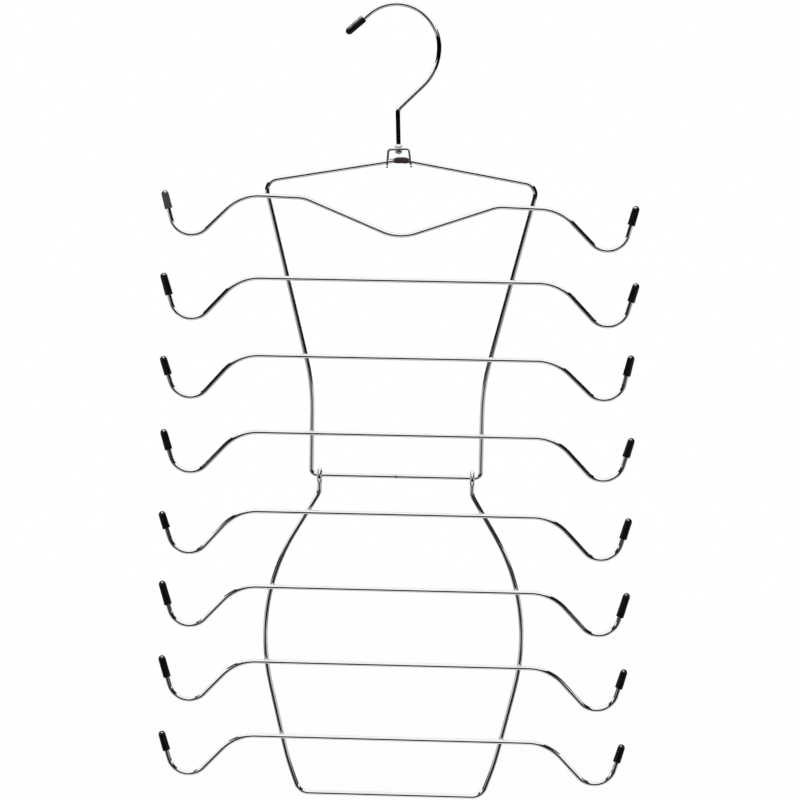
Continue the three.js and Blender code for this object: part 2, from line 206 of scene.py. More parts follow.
stripLook = {
    "bright": rgb(0.86, 0.862, 0.868), "dull": rgb(0.60, 0.605, 0.61), "roughness": 0.14,
    "brushLines": (120.0, 5200.0, 1.0), "brushDull": 0.2, "brushRough": 0.12,
    "stainScale": 320.0, "stainRange": (0.48, 0.75), "stainDull": 0.5, "stainRough": 0.08, "stainRise": 0.4,
    "bumpStrength": 0.6, "bumpHeight": 0.01 * mm,
}


def platedStrip(name):
    look = stripLook
    material = bpy.data.materials.new(name)
    shader = Shader(material)
    place = shader.add("ShaderNodeTexCoord")["Object"]
    wrap = shader.add("ShaderNodeUVMap", {"uv_map": "wrap"})[0]
    brush = shader.noise(shader.stretched(wrap, look["brushLines"]), 1.0, detail=3.0)
    stain = shader.noise(place, look["stainScale"], detail=4.0).between(*look["stainRange"])
    haze = stain * look["stainDull"] + brush * look["brushDull"]
    colour = shader.blend(haze, look["bright"], look["dull"])
    rough = look["roughness"] + brush * look["brushRough"] + stain * look["stainRough"]
    height = brush + stain * look["stainRise"]
    bump = shader.add("ShaderNodeBump", None, {
        "Strength": look["bumpStrength"], "Distance": look["bumpHeight"], "Height": height})[0]
    metal = shader.add("ShaderNodeBsdfPrincipled", None, {
        "Base Color": colour, "Metallic": 1.0, "Roughness": rough, "Normal": bump})[0]
    shader.add("ShaderNodeOutputMaterial", None, {"Surface": metal})
    return material


vinylLook = {
    "worn": rgb(0.020, 0.020, 0.022), "roughness": 0.15, "bend": 1.5, "specular": 0.32,
    "cloudScale": 260.0, "cloudRange": (0.35, 0.70), "cloudDull": 0.1, "cloudRough": 0.06,
    "scuffScale": 900.0, "scuffRange": (0.60, 0.74), "scuffDull": 0.35, "scuffRough": 0.12, "scuffRise": 0.4,
    "grainScale": 5200.0, "grainRise": 0.5, "pitScale": 1500.0, "pitSoftness": 0.4, "pitRise": 0.6,
    "bumpStrength": 0.35, "bumpHeight": 0.003 * mm,
}


def dippedVinyl(name, colour, shift):
    look = vinylLook
    material = bpy.data.materials.new(name)
    shader = Shader(material)
    place = shader.add("ShaderNodeTexCoord")["Object"]
    place = shader.add("ShaderNodeVectorMath", {"operation": "ADD"}, {0: place, 1: shift})[0]
    cloud = shader.noise(place, look["cloudScale"], detail=3.0).between(*look["cloudRange"])
    grain = shader.noise(place, look["grainScale"], detail=2.0)
    pits = shader.add("ShaderNodeTexVoronoi", {"feature": "SMOOTH_F1"}, {
        "Vector": place, "Scale": look["pitScale"], "Smoothness": look["pitSoftness"]})["Distance"]
    scuff = shader.noise(place, look["scuffScale"], detail=5.0, roughness=0.7).between(*look["scuffRange"])
    wear = scuff * look["scuffDull"] + cloud * look["cloudDull"]
    tone = shader.blend(wear, colour, look["worn"])
    rough = look["roughness"] + cloud * look["cloudRough"] + scuff * look["scuffRough"]
    height = grain * look["grainRise"] + pits * look["pitRise"] + scuff * look["scuffRise"]
    bump = shader.add("ShaderNodeBump", None, {
        "Strength": look["bumpStrength"], "Distance": look["bumpHeight"], "Height": height})[0]
    vinyl = shader.add("ShaderNodeBsdfPrincipled", None, {
        "Base Color": tone, "Roughness": rough, "Normal": bump,
        "IOR": look["bend"], "Specular IOR Level": look["specular"]})[0]
    shader.add("ShaderNodeOutputMaterial", None, {"Surface": vinyl})
    return material


looks = {  # the triples shift a pattern, so that no two finishes share one
    "hook": chromePlate("hook chrome", (0.31, 0.07, 0.0)),
    "frame": chromePlate("frame chrome", (0.0, 0.0, 0.0)),
    "bar": chromePlate("bar chrome", (0.0, 0.53, 0.11)),
    "strip": platedStrip("plated strip"),
    "vinyl": dippedVinyl("black vinyl", rgb(0.0045, 0.0045, 0.005), (0.0, 0.0, 0.0)),
    # the first left sleeve is given a paler tone than the other sleeves
    "palerVinyl": dippedVinyl("paler black vinyl", rgb(0.078, 0.077, 0.087), (0.2, 0.0, 0.0)),
}
print("materials:", len(looks))


# wires

class WirePath:  # straight runs and bends laid end to end
    def __init__(self, start, heading):
        self.rings = [(Vector(start), Vector(heading).normalized())]

    @property
    def end(self):
        return self.rings[-1]

    def run(self, length, steps=1):
        point, heading = self.end
        for step in range(1, steps + 1):
            self.rings.append((point + heading * length * step / steps, heading.copy()))

    def bend(self, radius, turn, axis=frontAxis):  # positive turns go left, seen from where the axis points
        point, heading = self.end
        centre = point + axis.cross(heading) * math.copysign(radius, turn)
        steps = max(3, math.ceil(abs(turn) / wire["bendStep"]))
        for step in range(1, steps + 1):
            spin = Matrix.Rotation(math.radians(turn) * step / steps, 3, axis)
            self.rings.append((centre + spin @ (point - centre), spin @ heading))

    def mirrored(self, leftHalf=None):  # the whole of a wire whose halves were drawn from the middle outwards
        rings = (leftHalf or self).rings[1:]
        half = [(Vector((-p.x, p.y, p.z)), Vector((h.x, -h.y, -h.z))) for p, h in reversed(rings)]
        self.rings = half + self.rings
        return self

    def moved(self, matrix):
        turnOnly = matrix.to_3x3()
        self.rings = [(matrix @ p, turnOnly @ h) for p, h in self.rings]
        return self

    def crossing(self, level, slope, side):  # place and heading where the wire meets z = level - slope * x
        def above(point):
            return point.z - level + slope * point.x

        for (p, heading), (q, _) in zip(self.rings, self.rings[1:]):
            if side * p.x > 0 and side * q.x > 0 and above(p) * above(q) <= 0 and p != q:
                share = above(p) / (above(p) - above(q))
                return p.lerp(q, share), heading


def bridge(bm, lower, upper, uvLayer, size, heights):  # a band of quads between two rings, with its wrap map
    count = len(lower)
    for k in range(count):
        n = (k + 1) % count
        face = bm.faces.new((lower[k], lower[n], upper[n], upper[k]))
        face.smooth = True
        corners = ((k, heights[0]), (k + 1, heights[0]), (k + 1, heights[1]), (k, heights[1]))
        for loop, (step, height) in zip(face.loops, corners):
            loop[uvLayer].uv = (size * step / count, height)


def closeRing(bm, ring, point, flip):
    middle = bm.verts.new(point)
    count = len(ring)
    for k in range(count):
        trio = (ring[k], ring[(k + 1) % count], middle)
        bm.faces.new(trio[::-1] if flip else trio).smooth = True


def sweepWire(bm, path):  # a round wire with chamfered ends along a path
    uvLayer = bm.loops.layers.uv.verify()
    radius, sides, chamfer = wire["radius"], wire["sides"], wire["chamfer"]
    (first, firstWay), (last, lastWay) = path.rings[0], path.rings[-1]
    stations = [(first, firstWay, radius - chamfer), (first + firstWay * chamfer, firstWay, radius)]
    stations += [(p, h, radius) for p, h in path.rings[1:-1]]
    stations += [(last - lastWay * chamfer, lastWay, radius), (last, lastWay, radius - chamfer)]
    across = firstWay.cross(frontAxis)
    if across.length < 0.1:  # the wire starts towards the viewer
        across = firstWay.cross(rightAxis)
    across.normalize()
    rings, heights, length, before = [], [], 0.0, None
    for point, way, reach in stations:
        if before:
            across = before[1].rotation_difference(way) @ across
            length += (point - before[0]).length
        across = (across - way * across.dot(way)).normalized()
        depth = way.cross(across)
        ring = []
        for k in range(sides):
            angle = 360 * k / sides + 90
            ring.append(bm.verts.new((point + (across * cos(angle) + depth * sin(angle)) * reach) * mm))
        rings.append(ring)
        heights.append(length * mm)
        before = (point, way)
    size = 2 * math.pi * radius * mm
    for k in range(len(rings) - 1):
        bridge(bm, rings[k], rings[k + 1], uvLayer, size, heights[k:k + 2])
    closeRing(bm, rings[0], first * mm, True)
    closeRing(bm, rings[-1], last * mm, False)


def turnProfile(bm, profile, sides, matrix, wobble=None):  # (radius, height) pairs turned about z
    uvLayer = bm.loops.layers.uv.verify()
    rings, heights, length = [], [], 0.0
    for place, (radius, height) in enumerate(profile):
        if place:
            length += math.dist(profile[place - 1], (radius, height))
        heights.append(length * mm)
        if radius <= 0:
            rings.append([bm.verts.new((matrix @ Vector((0, 0, height))) * mm)])
            continue
        ring = []
        for k in range(sides):
            local = Vector((radius * cos(360 * k / sides), radius * sin(360 * k / sides), height))
            ring.append(bm.verts.new((matrix @ (wobble(local) if wobble else local)) * mm))
        rings.append(ring)
    size = 2 * math.pi * max(radius for radius, _ in profile) * mm
    for k in range(len(rings) - 1):
        if len(rings[k]) == 1:
            closeRing(bm, rings[k + 1], rings[k][0].co, True)
        elif len(rings[k + 1]) == 1:
            closeRing(bm, rings[k], rings[k + 1][0].co, False)
        else:
            bridge(bm, rings[k], rings[k + 1], uvLayer, size, heights[k:k + 2])


meshing = {"merge": 1e-7, "sharp": 38.0}  # metres and degrees


def makePiece(name, bm, look, body, slotName, lay, *nodes, sharp=meshing["sharp"]):
    bm.transform(lay)
    bmesh.ops.remove_doubles(bm, verts=bm.verts, dist=meshing["merge"])
    bmesh.ops.recalc_face_normals(bm, faces=bm.faces)
    mesh = bpy.data.meshes.new(name)
    bm.to_mesh(mesh)
    bm.free()
    mesh.uv_layers[0].name = "wrap"
    mesh.set_sharp_from_angle(angle=math.radians(sharp))
    mesh.materials.append(looks[look])
    piece = bpy.data.objects.new(name, mesh)
    bpy.context.scene.collection.objects.link(piece)
    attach(piece, body)
    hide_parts(*nodes)
    return piece


def markSpots(bm, name, spots, reach):  # a point value that is 1 at the spots and fades out along the wire
    layer = bm.verts.layers.float.new(name)
    for vert in bm.verts:
        near = min((vert.co / mm - spot).length for spot in spots)
        vert[layer] = 1 - smooth(reach[0], reach[1], near)


# vinyl sleeves

sleeve = {
    "bore": 1.68, "rim": 2.8, "shoulder": 2.66, "length": 14.8, "dome": 2.9, "endWall": 1.8, "endGap": 0.4,
    "lip": 0.2, "sides": 32, "wallSteps": 10, "domeStep": 8,
    "waver": 0.03, "waverAcross": 0.45, "waverAlong": 0.22, "waverSeed": 7.1, "rightSeed": 0.5,
    "innerSkin": 0.1, "outerSkin": 0.3, "skew": 0.12, "skewReach": 2.0, "skewSeed": 77.0,
}
hookSleeve = {**sleeve, "length": 16.2}
capGroup = bpy.data.collections.new("sleeves")
dipped = {  # lengths from the first tier down; the caps were dipped by hand
    "left": (13.3, 16.5, 14.3, 15.5, 13.1, 18.3, 16.8, 14.9),
    "right": (14.3, 14.2, 15.3, 14.6, 15.9, 18.6, 14.8, 13.9),
}


def hiddenLength(size):  # length of wire inside a sleeve
    return size["length"] - size["endWall"] - size["endGap"]


def addSleeve(bm, size, end, length, seed):
    point, heading = end
    rim, shoulder, lip, bore, dome = (size[key] for key in ("rim", "shoulder", "lip", "bore", "dome"))
    straight = length - dome
    foot = point + heading * (size["endWall"] + size["endGap"] - length)
    turnTo = upAxis.rotation_difference(heading).to_matrix().to_4x4()
    profile = [(0, length - size["endWall"]), (bore, length - size["endWall"]), (bore, lip)]
    profile += [(bore + lip - lip * cos(a), lip - lip * sin(a)) for a in (30, 60, 90)]
    profile += [(rim - lip + lip * sin(a), lip - lip * cos(a)) for a in (0, 30, 60, 90)]
    for k in range(1, size["wallSteps"] + 1):
        share = k / size["wallSteps"]
        profile.append((rim + (shoulder - rim) * share, lip + share * (straight - lip)))
    domeAngles = range(size["domeStep"], 90, size["domeStep"])
    profile += [(shoulder * cos(a), straight + dome * sin(a)) for a in domeAngles]
    profile += [(0, length)]

    def waver(local):  # dipped walls are never quite even, and the rim is trimmed a little askew
        outer = smooth(bore + size["innerSkin"], shoulder - size["outerSkin"], local.xy.length)
        spot = local.xy * size["waverAcross"]
        drift = noise.noise(Vector((*spot, local.z * size["waverAlong"] + seed * size["waverSeed"])))
        swell = 1 + drift * size["waver"] * outer
        nearRim = 1 - smooth(0, size["skewReach"], local.z)
        skew = size["skew"] * local.x * cos(seed * size["skewSeed"]) / rim * nearRim
        return Vector((local.x * swell, local.y * swell, local.z + skew))

    turnProfile(bm, profile, size["sides"], Matrix.Translation(foot) @ turnTo, waver)


# swivel hook

hook = {
    "radius": 30.5, "heelRadius": 37.0, "neckAngle": 48.0, "neckRadius": 6.0, "tipAngle": 39.0, "tipRun": 4.6,
    "collarRadius": 3.0, "collarHeight": 2.3, "collarRound": 1.0, "collarWaist": 0.12, "collarFillet": 0.25,
    "collarSides": 36, "play": 0.3, "strap": 1.25,
    "headRadius": 2.4, "headHeight": 2.4, "headShoulder": 0.8, "headEdge": 0.25, "headSides": 28,
    "dentGrain": 1.3, "dentDepth": 0.09, "dentFade": (0.4, 1.2),
}

# the hook and its bracket are drawn upright and lean about the middle of the hook, along the swivel axis
hookMiddle = Vector((0, 0, wire["radius"] - hook["radius"]))
plateTop = hookMiddle.z - (Vector(joints["hook_swivel"]["pos_m"]) / mm - hookMiddle).length
rockLevel = hookMiddle.z - (Vector(joints["bracket_rock"]["pos_m"]) / mm - hookMiddle).length
hookLean = upAxis.rotation_difference(Vector(joints["hook_swivel"]["axis"])).to_matrix().to_4x4()
hookLay = Matrix.Translation(hookMiddle * mm) @ hookLean @ Matrix.Translation(hookMiddle * -mm)


def addCollar(bm):
    foot, reach, rounding = plateTop + hook["play"], hook["collarRadius"], hook["collarRound"]
    top, fillet = foot + hook["collarHeight"], hook["collarFillet"]
    inner, stem, quarter = reach - rounding, wire["radius"], (0, 30, 60, 90)
    profile = [(0, foot), (inner, foot)]
    profile += [(inner + rounding * sin(a), foot + rounding - rounding * cos(a)) for a in quarter[1:]]
    profile += [(reach - hook["collarWaist"], (foot + top) / 2)]
    profile += [(inner + rounding * cos(a), top - rounding + rounding * sin(a)) for a in quarter]
    profile += [(stem + fillet * (1 - sin(a)), top + fillet - fillet * cos(a)) for a in quarter]
    profile += [(0, top + fillet)]
    turnProfile(bm, profile, hook["collarSides"], Matrix.Identity(4))


def addPeenedHead(bm):
    top, reach = plateTop - hook["strap"] - hook["play"], hook["headRadius"]
    half, edge = hook["headHeight"] / 2, hook["headEdge"]
    profile = [(0, top - 2 * half)]
    profile += [(reach * cos(a), top - half - half * sin(a)) for a in (78, 64, 50, 36, 22, 8)]
    profile += [(reach, top - half * hook["headShoulder"]), (reach, top - edge)]
    profile += [(reach - edge, top), (0, top)]

    def hammered(local):  # dents from the hammer, below the rim
        fade = smooth(top - hook["dentFade"][0], top - hook["dentFade"][1], local.z)
        dent = noise.noise(local * hook["dentGrain"]) * hook["dentDepth"] * fade
        return local + local.normalized() * dent

    turnProfile(bm, profile, hook["headSides"], Matrix.Identity(4), hammered)


def hookPath():
    across = hook["radius"] - (hook["neckRadius"] + hook["heelRadius"]) * (1 - cos(hook["neckAngle"]))
    slant = across / sin(hook["neckAngle"])
    rise = (hook["neckRadius"] + hook["heelRadius"]) * sin(hook["neckAngle"]) + slant * cos(hook["neckAngle"])
    neckLevel = wire["radius"] - hook["radius"] - rise
    foot = plateTop - hook["strap"] - hook["play"] - hook["headHeight"] / 2
    path = WirePath((0, 0, foot), upAxis)
    path.run(neckLevel - foot, steps=8)
    path.bend(hook["neckRadius"], -hook["neckAngle"])
    path.run(slant, steps=4)
    path.bend(hook["heelRadius"], hook["neckAngle"])
    path.bend(hook["radius"], 90 + hook["tipAngle"])
    path.run(hook["tipRun"] + hiddenLength(hookSleeve), steps=3)
    return path


path = hookPath()
bm = bmesh.new()
sweepWire(bm, path)
addCollar(bm)
addPeenedHead(bm)
makePiece("hook", bm, "hook", "hook", "hook_chrome", hookLay, "hook_wire")
bm = bmesh.new()
addSleeve(bm, hookSleeve, path.end, hookSleeve["length"], 0)
capGroup.objects.link(makePiece("hook_sleeve", bm, "vinyl", "hook", "cap_vinyl", hookLay, "hook_tip_cap"))
print("hook built")


# swivel bracket

bracket = {
    "half": 7.85, "flare": 6.0, "thickness": 1.25, "width": 9.0, "innerBend": 1.2, "holeRadius": 1.9,
    "foldSteps": 10, "arcSteps": 24, "cutSlack": 1e-5, "sharp": 30.0,
    "edgeRound": 0.12, "edgeSteps": 3, "edgeAngle": 50.0,
}


def bracketFold():  # a fold's arc in section; end and hole are lengths along the strap from its centre
    outer = bracket["innerBend"] + bracket["thickness"]
    middle = bracket["innerBend"] + bracket["thickness"] / 2
    turn = 90 - bracket["flare"]
    foldX = bracket["half"] - outer * tan(turn / 2)
    foldZ = plateTop - outer
    legTop = foldZ + middle * sin(bracket["flare"])
    return {
        "x": foldX, "z": foldZ, "radius": middle,
        "end": foldX + middle * math.radians(turn),
        "hole": foldX + middle * math.radians(turn) + (legTop - rockLevel) / cos(bracket["flare"]),
    }


def foldedPoint(fold, along, across):
    side = math.copysign(1, along)
    s = abs(along)
    if s <= fold["x"]:
        x, z = s, fold["z"] + fold["radius"]
    elif s <= fold["end"]:
        angle = 90 - math.degrees((s - fold["x"]) / fold["radius"])
        x, z = fold["x"] + fold["radius"] * cos(angle), fold["z"] + fold["radius"] * sin(angle)
    else:
        flare = bracket["flare"]
        x = fold["x"] + fold["radius"] * cos(flare) + (s - fold["end"]) * sin(flare)
        z = fold["z"] + fold["radius"] * sin(flare) - (s - fold["end"]) * cos(flare)
    return Vector((side * x, across, z))


def buildBracket():
    fold = bracketFold()
    half, steps = bracket["width"] / 2, bracket["arcSteps"]
    bm = bmesh.new()
    footAngles = [180 * k / steps - 90 for k in range(steps + 1)]
    outline = [(fold["hole"] + half * cos(a), half * sin(a)) for a in footAngles]
    outline += [(-s, -w) for s, w in outline]
    loops, radius = [outline], bracket["holeRadius"]
    holeAngles = [360 * k / steps for k in range(steps)]
    for centre in (-fold["hole"], 0.0, fold["hole"]):
        loops.append([(centre + radius * cos(a), radius * sin(a)) for a in holeAngles])
    edges = []
    for loop in loops:
        verts = [bm.verts.new((s, w, 0)) for s, w in loop]
        edges += [bm.edges.new((verts[k - 1], verts[k])) for k in range(len(verts))]
    bmesh.ops.triangle_fill(bm, edges=edges, use_beauty=True, normal=(0, 0, 1))
    for k in range(bracket["foldSteps"] + 1):  # lines across the blank, where the folds curve
        cut = fold["x"] + (fold["end"] - fold["x"]) * k / bracket["foldSteps"]
        for side in (-1, 1):
            bmesh.ops.bisect_plane(bm, geom=bm.verts[:] + bm.edges[:] + bm.faces[:], dist=bracket["cutSlack"],
                                   plane_co=(side * cut, 0, 0), plane_no=rightAxis)
    uvLayer = bm.loops.layers.uv.verify()
    for face in bm.faces:
        face.smooth = True
        for loop in face.loops:
            loop[uvLayer].uv = (loop.vert.co.x * mm, loop.vert.co.y * mm)
    for vert in bm.verts:
        vert.co = foldedPoint(fold, vert.co.x, vert.co.y) * mm
    piece = makePiece("bracket", bm, "strip", "bracket", "strap_steel", hookLay, "swivel_bracket",
                      sharp=bracket["sharp"])
    body = piece.modifiers.new("thickness", "SOLIDIFY")
    body.thickness = bracket["thickness"] * mm
    body.offset = 0.0
    rounding = piece.modifiers.new("edges", "BEVEL")
    rounding.width = bracket["edgeRound"] * mm
    rounding.segments = bracket["edgeSteps"]
    rounding.limit_method = "ANGLE"
    rounding.angle_limit = math.radians(bracket["edgeAngle"])


buildBracket()
print("bracket built")


# upper frame

upper = {
    "armSlope": 9.7, "apexRadius": 40.0, "shoulderHalf": 98.2, "shoulderRadius": 8.0,
    "legLean": 14.0, "waistHalf": 61.8, "waistRadius": 160.0, "cornerRadius": 4.5,
    "flatHalf": 4.0, "flatTaper": 1.6, "flatLead": 0.8, "flatHeight": 4.4, "flatThickness": 2.2,
    # the last two set the spots and the fade of the painted dark reflection on the crown
    "flatSquare": 7, "flatBelow": 6.0, "paintedReflectionStep": 1.1, "paintedReflectionFade": (2.4, 3.1),
    "buttGap": 0.4, "beadHalf": 1.5, "beadRise": 0.09, "beadRound": 0.7, "beadEdge": 0.02,
    "beadSides": 28, "beadSteps": 7, "beadStart": -0.995,
    "beadLump": 0.05, "beadGrain": 1.1, "beadRipple": 0.015, "ripplePitch": 7, "weldFade": (0.8, 3.0),
}
apexLevel = hingeLevel + tiers["toHinge"] + (tiers["perFrame"] - 1) * tiers["pitch"] + tiers["fromApex"]
apexPeak = apexLevel - upper["apexRadius"] * (1 / cos(upper["armSlope"]) - 1)


def upperPath():
    slope, lean = upper["armSlope"], upper["legLean"]
    turn = 90 + lean - slope
    shoulder = upper["shoulderRadius"] * tan(turn / 2)
    waist = upper["waistRadius"] * tan(lean / 2)
    narrowing = upper["shoulderHalf"] - upper["waistHalf"]
    waistLevel = apexLevel - upper["shoulderHalf"] * tan(slope) - narrowing / tan(lean)
    path = WirePath((0, 0, apexPeak), rightAxis)
    path.bend(upper["apexRadius"], -slope)
    path.run(upper["shoulderHalf"] / cos(slope) - upper["apexRadius"] * tan(slope) - shoulder, steps=12)
    path.bend(upper["shoulderRadius"], -turn)
    path.run(narrowing / sin(lean) - shoulder - waist, steps=16)
    path.bend(upper["waistRadius"], lean)
    path.run(waistLevel - hingeLevel - waist - upper["cornerRadius"], steps=6)
    path.bend(upper["cornerRadius"], -90)
    path.run(upper["waistHalf"] - upper["cornerRadius"] - upper["buttGap"] / 2, steps=10)
    return path


def pressFlat(bm):  # the coined flat between the bracket's legs, with squared flanks
    reach, square = upper["flatHalf"] + upper["flatTaper"], upper["flatSquare"]
    for vert in bm.verts:
        point = vert.co / mm
        across = abs(point.x)
        if across > reach or point.z < apexPeak - upper["flatBelow"]:
            continue
        press = 1 - smooth(upper["flatHalf"] - upper["flatLead"], reach, across)
        centre = apexPeak - upper["apexRadius"] + math.sqrt(upper["apexRadius"] ** 2 - across ** 2)
        high, deep = (point.z - centre) / wire["radius"], point.y / wire["radius"]
        fuller = (abs(high) ** square + abs(deep) ** square) ** (-1 / square)
        flatZ = high * fuller * upper["flatHeight"] / 2
        flatY = deep * fuller * upper["flatThickness"] / 2
        z = (point.z - centre) * (1 - press) + flatZ * press
        y = point.y * (1 - press) + flatY * press
        vert.co = Vector((point.x, y, centre + z)) * mm


def addButtWeld(bm):
    half, core, steps = upper["beadHalf"], wire["radius"] + upper["beadEdge"], upper["beadSteps"]
    profile = [(0, -half)]
    for share in [upper["beadStart"]] + [k / steps - 1 for k in range(1, 2 * steps)]:
        swell = upper["beadRise"] * cos(90 * share) ** upper["beadRound"]
        profile.append((core + swell, half * share))
    profile.append((0, half))

    def rippled(local):
        lump = 1 + upper["beadLump"] * noise.noise(local * upper["beadGrain"])
        lump += upper["beadRipple"] * math.sin(local.z * upper["ripplePitch"])
        return Vector((local.x * lump, local.y * lump, local.z))

    lay = Matrix.Translation((0, 0, hingeLevel)) @ Matrix.Rotation(math.radians(90), 4, "Y")
    turnProfile(bm, profile, upper["beadSides"], lay, rippled)


frameWires = {"upper": upperPath().mirrored()}
bm = bmesh.new()
sweepWire(bm, frameWires["upper"])
pressFlat(bm)
addButtWeld(bm)
markSpots(bm, "weld", [Vector((0, 0, hingeLevel))], upper["weldFade"])
# the painted dark reflection on the coined flat at the crown, fading along the wire
crown = [Vector((k * upper["paintedReflectionStep"], 0, apexPeak)) for k in range(-3, 4)]
markSpots(bm, "paintedReflection", crown, upper["paintedReflectionFade"])
makePiece("upper_loop", bm, "frame", "upper", "frame_chrome", frameLay, "upper_frame")
print("upper frame built")


# lower frame

lower = {
    "eyeClearance": 0.5, "eyeGap": 1.4, "eyeNeckRadius": 3.2, "eyeLegRun": 3.4, "flareRadius": 12.0,
    "flareLean": 30.7, "hipHalf": 94.3, "upperHipRadius": 148.0, "lowerHipRadius": 170.0, "thighLean": 13.2,
    "sweepRadius": 200.0, "footLean": 20.0, "footRun": 7.6, "footRadius": 10.0, "footDrop": 238.5,
}


def lowerPath():
    eyeHalf = upper["waistHalf"] - upper["cornerRadius"] - wire["radius"]
    eyeRadius = 2 * wire["radius"] + lower["eyeClearance"]
    neck, flare = lower["eyeNeckRadius"], lower["flareLean"]
    thigh, foot = lower["thighLean"], lower["footLean"]
    neckDrop = math.sqrt(eyeRadius ** 2 + 2 * eyeRadius * neck)
    neckTurn = math.degrees(math.asin(neckDrop / (eyeRadius + neck)))
    eyeWrap = 360 - 2 * math.degrees(math.asin((2 * wire["radius"] + lower["eyeGap"]) / (2 * eyeRadius)))
    flareBends = lower["flareRadius"] + lower["upperHipRadius"]
    flareRun = (lower["hipHalf"] - eyeHalf - flareBends * (1 - cos(flare))) / sin(flare)
    hipDrop = neckDrop + lower["eyeLegRun"] + flareBends * sin(flare) + flareRun * cos(flare)
    corner = 90 - foot
    footAcross = lower["footRadius"] * sin(corner) + lower["footRun"] * sin(foot)
    footAlong = lower["footRadius"] * (1 - cos(corner)) + lower["footRun"] * cos(foot)
    sweepAcross = lower["sweepRadius"] * (cos(thigh) - cos(foot))
    sweepAlong = lower["sweepRadius"] * (sin(foot) - sin(thigh))
    hipAlong = lower["lowerHipRadius"] * sin(thigh)
    thighRun = (lower["footDrop"] - hipDrop - hipAlong - sweepAlong - footAlong) / cos(thigh)
    hipAcross = lower["lowerHipRadius"] * (1 - cos(thigh)) + thighRun * sin(thigh)
    path = WirePath((0, 0, hingeLevel - lower["footDrop"]), rightAxis)
    path.run(lower["hipHalf"] - hipAcross - sweepAcross - footAcross, steps=10)
    path.bend(lower["footRadius"], corner)
    path.run(lower["footRun"], steps=2)
    path.bend(lower["sweepRadius"], foot - thigh)
    path.run(thighRun, steps=8)
    path.bend(lower["lowerHipRadius"], thigh)
    path.bend(lower["upperHipRadius"], flare)
    path.run(flareRun, steps=5)
    path.bend(lower["flareRadius"], -flare)
    path.run(lower["eyeLegRun"])
    path.bend(neck, neckTurn, rightAxis)
    path.bend(eyeRadius, -eyeWrap, rightAxis)
    return path


frameWires["lower"] = lowerPath().mirrored()
bm = bmesh.new()
sweepWire(bm, frameWires["lower"])
makePiece("lower_loop", bm, "frame", "lower", "frame_chrome", frameLay, "lower_frame")
print("lower frame built")


# tier bars

bar = {
    "flatHalf": 100.5, "shoulderRadius": 34.0, "slope": 46.5, "dipRadius": 15.2, "dipDepth": 30.0,
    "tipLean": 16.3, "tipRun": 6.2, "ringStep": 8.0,
}
armLifts = {  # degrees by which the arms were bent up at the shoulder, from the first tier down
    "left": (0, 0, -1.4, 0, -1.8, 0, 0, 0),
    "right": (3, 0, 3.2, 0, 0, 0, 0, 0),
}
tipReach = {  # what the arms' tips were cut long or short by
    "left": (-0.7, 1.2, -1.4, -0.6, -0.7, 1.5, 1.6, 0.4),
    "right": (0.4, 0.0, 0.2, 0.2, -0.4, 0.5, -0.4, -0.8),
}
neckline = {"depth": 23.7, "slope": 20.6, "radius": 34.0, "shoulderRadius": 24.0, "tilt": 1.7}
nugget = {
    "waist": 1.05, "spread": 0.42, "sides": 20, "rings": 9, "bite": 0.12, "gap": 0.2, "widest": 0.98,
    "lump": 0.12, "lumpAlong": 0.6, "lumpSeed": 3.7, "sideSeed": 0.3, "wrapSize": 6.0, "fade": (1.6, 4.5),
}


def halfBar(number, side):
    if number == 1:
        slope, bends = neckline["slope"], neckline["radius"] + neckline["shoulderRadius"]
        path = WirePath((0, 0, -neckline["depth"]), rightAxis)
        path.bend(neckline["radius"], slope)
        path.run((neckline["depth"] - bends * (1 - cos(slope))) / sin(slope), steps=8)
        path.bend(neckline["shoulderRadius"], -slope)
    else:
        path = WirePath((0, 0, 0), rightAxis)
    slope, bends = bar["slope"], bar["shoulderRadius"] + bar["dipRadius"]
    left = bar["flatHalf"] - path.end[0].x
    path.run(left, max(2, round(left / bar["ringStep"])))
    path.bend(bar["shoulderRadius"], armLifts[side][number - 1] - slope)
    path.run((bar["dipDepth"] - bends * (1 - cos(slope))) / sin(slope), steps=3)
    path.bend(bar["dipRadius"], slope + 90 - bar["tipLean"])
    path.run(bar["tipRun"] + tipReach[side][number - 1] + hiddenLength(sleeve), steps=3)
    return path


def addWeld(bm, spot, legWay, seed):  # fused metal in the crotch where a bar crosses the frame wire
    uvLayer = bm.loops.layers.uv.verify()
    radius, rings, sides = wire["radius"], [], nugget["sides"]
    across = Vector((legWay.z, 0, -legWay.x)).normalized()
    middle = Vector((spot.x, tiers["front"] / 2, spot.z))
    for row in range(nugget["rings"]):
        t = 2 * row / (nugget["rings"] - 1) - 1
        ring = []
        for k in range(sides):
            a = 360 * k / sides
            place = Vector((cos(a), sin(a) + seed * nugget["lumpSeed"], t * nugget["lumpAlong"]))
            lump = 1 + nugget["lump"] * noise.noise(place)
            reach = (nugget["waist"] + nugget["spread"] * t * t) * lump
            x, z = reach * cos(a), reach * sin(a)
            offAxis = abs(z) if t < 0 else abs(Vector((x, 0, z)).dot(across))
            sag = radius - math.sqrt(radius ** 2 - min(offAxis, radius * nugget["widest"]) ** 2)
            y = t * (nugget["gap"] / 2 + sag + nugget["bite"])
            ring.append(bm.verts.new((middle + Vector((x, y, z))) * mm))
        rings.append(ring)
    for low, high in zip(rings, rings[1:]):
        bridge(bm, low, high, uvLayer, nugget["wrapSize"] * mm, (0, mm))
    for ring, flip in ((rings[0], True), (rings[-1], False)):
        closeRing(bm, ring, sum((v.co for v in ring), Vector()) / sides, flip)


